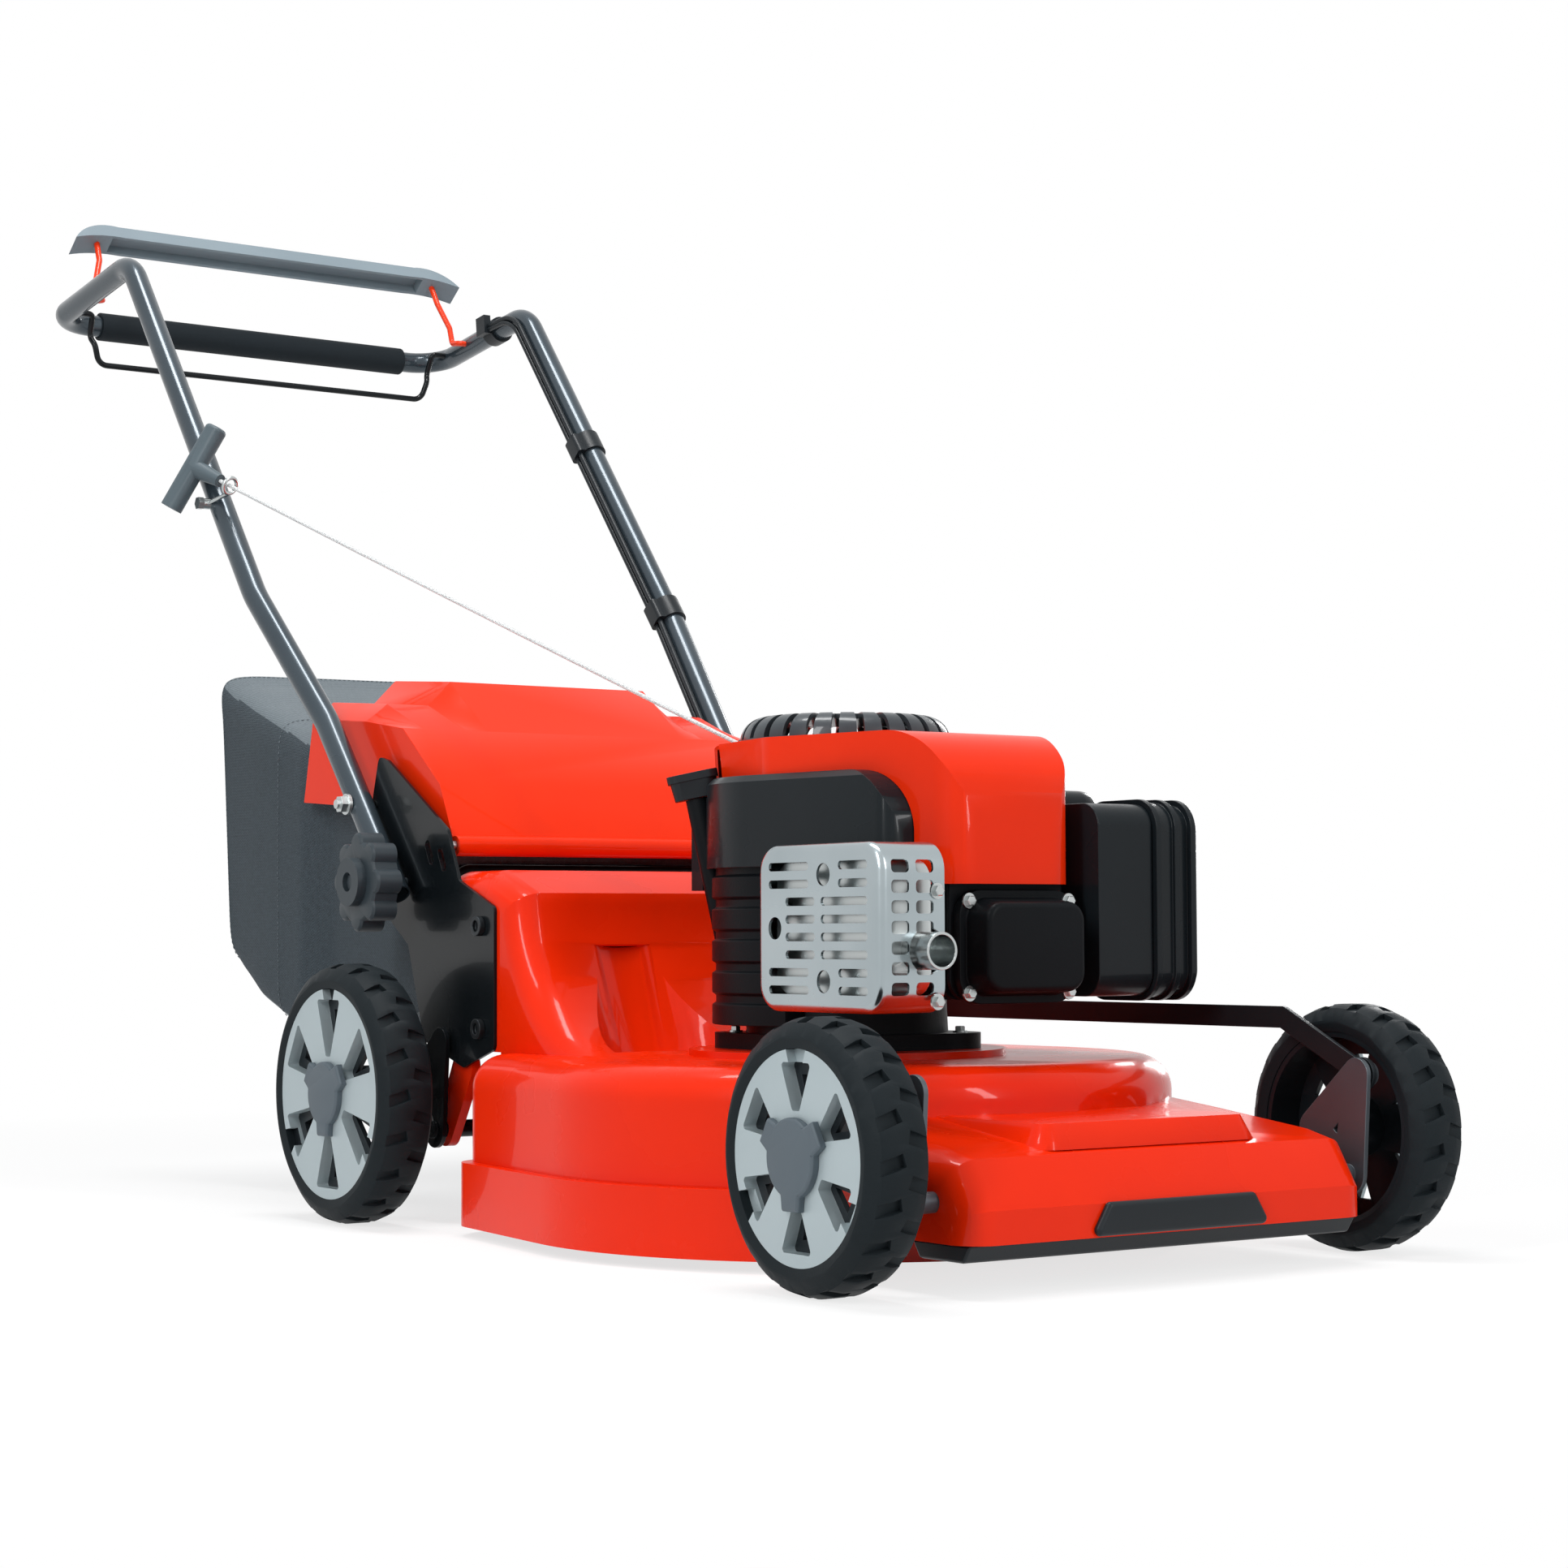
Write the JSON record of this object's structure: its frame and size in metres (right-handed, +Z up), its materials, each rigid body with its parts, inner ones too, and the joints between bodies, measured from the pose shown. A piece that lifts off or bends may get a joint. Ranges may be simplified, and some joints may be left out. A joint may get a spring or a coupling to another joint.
{
  "type": "push lawn mower",
  "caption": "Walk-behind petrol rotary lawn mower with a round pressed deck, lug-tyred wheels, fold-down tube handle with bails, pull starter and rear cloth collector.",
  "frame": {"origin": "on the ground below the middle of the overall footprint, wheels standing on z = 0", "axes": "+X forward, away from the operator; +Y to the operator's left; +Z up"},
  "size_m": [1.4945, 0.568, 0.9698],
  "materials": {
    "deck_paint": "gloss",
    "black_paint": "satin",
    "tube_paint": "gloss",
    "black_plastic": "satin",
    "dark_grey_plastic": "satin",
    "grey_plastic": "satin",
    "orange_plastic": "gloss",
    "silver_paint": "satin",
    "tyre_rubber": "matte",
    "foam_rubber": "matte",
    "zinc_steel": "satin",
    "black_steel": "satin",
    "cast_aluminium": "cast",
    "bag_cloth": "woven",
    "rope_cloth": "braided",
    "orange_wire": "gloss"
  },
  "bodies": {
    "chassis": {"air_filter_base": "black_plastic", "air_filter_cover": "black_plastic", "blower_shroud": "black_plastic", "bracket_bolts": "black_steel", "cable_tails": "black_plastic", "crankcase": "cast_aluminium", "cylinder_block": "cast_aluminium", "deck": "deck_paint", "flap_pin": "zinc_steel", "front_skid": "black_plastic", "fuel_tank": "black_plastic", "muffler": "black_steel", "muffler_guard": "silver_paint", "nose_bumper": "black_plastic", "recoil_cover": "grey_plastic", "side_brackets": "black_paint", "starter_rope": "rope_cloth", "top_hood": "orange_plastic", "valve_cover": "black_paint"},
    "front_axle": {"front_arms": "black_paint"},
    "rear_axle": {"rear_arms": "black_paint", "drive_axle": "zinc_steel", "gearbox": "black_plastic", "height_lever": "black_paint", "height_lever_knob": "black_plastic"},
    "link": {"height_link": "tube_paint"},
    "handle": {"handle_tube": "tube_paint", "handle_bolts": "zinc_steel", "grip_sleeve": "foam_rubber", "rope_guide": "zinc_steel", "bowden_cables": "black_plastic", "cable_holders": "black_plastic"},
    "stop_bail": {"bail_blade": "grey_plastic", "bail_wires": "orange_wire"},
    "drive_bail": {"drive_bail": "black_paint"},
    "starter_grip": {"pull_grip": "dark_grey_plastic", "rope_tail": "rope_cloth"},
    "flap": {"rear_flap": "orange_plastic"},
    "collector": {"collector_bag": "bag_cloth", "collector_frame": "black_steel"},
    "crank": {"crankshaft": "zinc_steel", "blade": "black_steel", "blade_mount": "zinc_steel"},
    "fuel_cap": {"fuel_cap": "black_plastic"},
    "oil_cap": {"oil_filler_cap": "black_plastic"},
    "knob_left": {"star_knob_left": "black_plastic"},
    "knob_right": {"star_knob_right": "black_plastic"},
    "wheel_front_left": {"tyre_front_left": "tyre_rubber", "wheel_disc_front_left": "silver_paint", "hub_cap_front_left": "dark_grey_plastic"},
    "wheel_front_right": {"tyre_front_right": "tyre_rubber", "wheel_disc_front_right": "silver_paint", "hub_cap_front_right": "dark_grey_plastic"},
    "wheel_rear_left": {"tyre_rear_left": "tyre_rubber", "wheel_disc_rear_left": "silver_paint", "hub_cap_rear_left": "dark_grey_plastic"},
    "wheel_rear_right": {"tyre_rear_right": "tyre_rubber", "wheel_disc_rear_right": "silver_paint", "hub_cap_rear_right": "dark_grey_plastic"}
  },
  "joints": [
    {"name": "front_height", "type": "hinge", "parent": "chassis", "child": "front_axle", "pos_m": [0.69225, 0, 0.06], "axis": [0, -1, 0], "range_deg": [0, 42]},
    {"name": "rear_height", "type": "hinge", "parent": "chassis", "child": "rear_axle", "pos_m": [0.05525, 0, 0.075], "axis": [0, -1, 0], "range_deg": [0, 42]},
    {"name": "link_pivot", "type": "hinge", "parent": "front_axle", "child": "link", "pos_m": [0.70025, 0, 0.131], "axis": [0, -1, 0], "range_deg": [-42, 0]},
    {"name": "handle_fold", "type": "hinge", "parent": "chassis", "child": "handle", "pos_m": [-0.00775, 0, 0.277], "axis": [0, 1, 0], "range_deg": [0, 110], "deforming": ["starter_rope", "cable_tails"]},
    {"name": "stop_bail_squeeze", "type": "hinge", "parent": "handle", "child": "stop_bail", "pos_m": [-0.64775, 0, 0.8798], "axis": [0, -1, 0], "range_deg": [0, 42], "stiffness_Nm_per_rad": 0.6, "springref_deg": -28.65},
    {"name": "drive_bail_squeeze", "type": "hinge", "parent": "handle", "child": "drive_bail", "pos_m": [-0.69575, 0, 0.8743], "axis": [0, 1, 0], "range_deg": [0, 38], "stiffness_Nm_per_rad": 0.5, "springref_deg": -22.92},
    {"name": "starter_pull", "type": "slide", "parent": "handle", "child": "starter_grip", "axis": [-0.8657, -0.2922, 0.4063], "range_m": [0, 0.5], "deforming": ["rope_tail"]},
    {"name": "flap_lift", "type": "hinge", "parent": "chassis", "child": "flap", "pos_m": [0.05725, 0, 0.306], "axis": [0, 1, 0], "range_deg": [0, 25]},
    {"name": "collector_off", "type": "slide", "parent": "chassis", "child": "collector", "axis": [-0.9659, 0, 0.2588], "range_m": [0, 0.45]},
    {"name": "crank_spin", "type": "hinge", "parent": "chassis", "child": "crank", "pos_m": [0.35325, 0, 0.1], "axis": [0, 0, 1], "continuous": true},
    {"name": "fuel_cap_turn", "type": "hinge", "parent": "chassis", "child": "fuel_cap", "pos_m": [0.41525, 0.118, 0.381], "axis": [0, 0, 1], "continuous": true},
    {"name": "oil_cap_turn", "type": "hinge", "parent": "chassis", "child": "oil_cap", "pos_m": [0.27725, -0.088, 0.338], "axis": [-0.1152, -0.1664, 0.9793], "continuous": true},
    {"name": "knob_left_turn", "type": "hinge", "parent": "chassis", "child": "knob_left", "pos_m": [-0.00775, 0, 0.277], "axis": [0, 1, 0], "continuous": true},
    {"name": "knob_right_turn", "type": "hinge", "parent": "chassis", "child": "knob_right", "pos_m": [-0.00775, 0, 0.277], "axis": [0, 1, 0], "continuous": true},
    {"name": "wheel_front_left_spin", "type": "hinge", "parent": "front_axle", "child": "wheel_front_left", "pos_m": [0.65725, 0, 0.09], "axis": [0, 1, 0], "continuous": true},
    {"name": "wheel_front_right_spin", "type": "hinge", "parent": "front_axle", "child": "wheel_front_right", "pos_m": [0.65725, 0, 0.09], "axis": [0, 1, 0], "continuous": true},
    {"name": "wheel_rear_left_spin", "type": "hinge", "parent": "rear_axle", "child": "wheel_rear_left", "pos_m": [0.02025, 0, 0.105], "axis": [0, 1, 0], "continuous": true},
    {"name": "wheel_rear_right_spin", "type": "hinge", "parent": "rear_axle", "child": "wheel_rear_right", "pos_m": [0.02025, 0, 0.105], "axis": [0, 1, 0], "continuous": true}
  ],
  "couplings": [
    {"joint": "rear_height", "follows": "front_height", "ratio": 1},
    {"joint": "link_pivot", "follows": "front_height", "ratio": -1}
  ]
}
